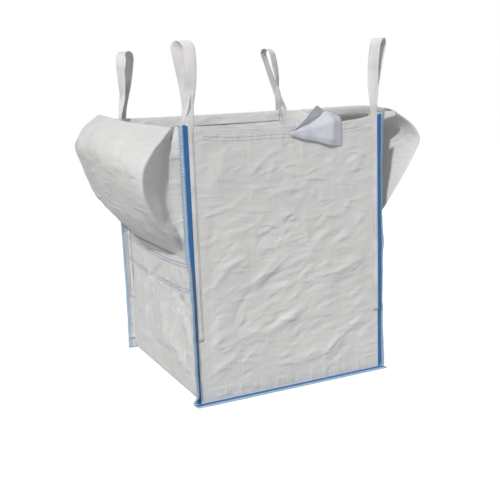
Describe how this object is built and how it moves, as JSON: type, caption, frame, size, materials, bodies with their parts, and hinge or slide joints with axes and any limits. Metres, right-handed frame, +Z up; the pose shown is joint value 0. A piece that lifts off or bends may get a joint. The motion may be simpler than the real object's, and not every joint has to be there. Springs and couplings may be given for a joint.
{
  "type": "bulk bag",
  "caption": "Woven bulk bag standing open: square body with sewn edges standing out, bulging upper sides, corner lifting loops and a document pouch on the front rim.",
  "frame": {"origin": "centre of the base on the floor", "axes": "+Z up; the front, with the document pouch, faces -Y; +X to the right when looking at the front"},
  "size_m": [1.5389, 1.0154, 1.4993],
  "materials": {
    "woven_cloth": "off-white uncoated woven polypropylene tape cloth, soft satin",
    "webbing": "off-white woven polypropylene webbing, matt",
    "blue_thread": "blue polypropylene sewing thread",
    "grey_thread": "pale grey sewing thread",
    "pouch_film": "pale blue-white coated film, satin"
  },
  "bodies": {
    "bag": {"back_bottom_chain_stitch": "blue_thread", "back_bottom_overlock": "blue_thread", "back_hem_stitch_1": "grey_thread", "back_hem_stitch_2": "grey_thread", "back_left_chain_stitch": "blue_thread", "back_left_overlock": "blue_thread", "back_left_webbing_on_panel": "webbing", "back_left_webbing_on_side": "webbing", "back_panel": "woven_cloth", "back_right_chain_stitch": "blue_thread", "back_right_overlock": "blue_thread", "back_right_webbing_on_panel": "webbing", "back_right_webbing_on_side": "webbing", "body_panel": "woven_cloth", "front_bottom_chain_stitch": "blue_thread", "front_bottom_overlock": "blue_thread", "front_hem_stitch_1": "grey_thread", "front_hem_stitch_2": "grey_thread", "front_left_chain_stitch": "blue_thread", "front_left_overlock": "blue_thread", "front_left_webbing_on_panel": "webbing", "front_left_webbing_on_side": "webbing", "front_panel": "woven_cloth", "front_right_chain_stitch": "blue_thread", "front_right_overlock": "blue_thread", "front_right_webbing_on_panel": "webbing", "front_right_webbing_on_side": "webbing", "left_lap_stitch_1": "blue_thread", "left_lap_stitch_2": "blue_thread", "left_lap_stitch_3": "blue_thread", "left_lap_stitch_4": "blue_thread", "left_side_extension": "woven_cloth", "pouch_sewn_edge": "pouch_film", "pouch_stitch": "grey_thread", "right_lap_stitch_1": "blue_thread", "right_lap_stitch_2": "blue_thread", "right_lap_stitch_3": "blue_thread", "right_lap_stitch_4": "blue_thread", "right_side_extension": "woven_cloth"},
    "back_left_loop_body": {"back_left_loop": "webbing"},
    "back_right_loop_body": {"back_right_loop": "webbing"},
    "document_pouch_body": {"document_pouch": "pouch_film"},
    "front_left_loop_body": {"front_left_loop": "webbing"},
    "front_right_loop_body": {"front_right_loop": "webbing"}
  },
  "joints": [
    {"name": "front_left_loop_swing", "type": "hinge", "parent": "bag", "child": "front_left_loop_body", "pos_m": [-0.424, -0.4477, 1.188], "axis": [1, 0, 0], "range_deg": [-80, 100]},
    {"name": "front_right_loop_swing", "type": "hinge", "parent": "bag", "child": "front_right_loop_body", "pos_m": [0.424, -0.4477, 1.188], "axis": [1, 0, 0], "range_deg": [-80, 100]},
    {"name": "back_left_loop_swing", "type": "hinge", "parent": "bag", "child": "back_left_loop_body", "pos_m": [-0.424, 0.4477, 1.188], "axis": [-1, 0, 0], "range_deg": [-80, 100]},
    {"name": "back_right_loop_swing", "type": "hinge", "parent": "bag", "child": "back_right_loop_body", "pos_m": [0.424, 0.4477, 1.188], "axis": [-1, 0, 0], "range_deg": [-80, 100]},
    {"name": "pouch_flip", "type": "hinge", "parent": "bag", "child": "document_pouch_body", "pos_m": [0.135, -0.4477, 1.1616], "axis": [-1, 0, 0], "range_deg": [-20, 150]}
  ]
}
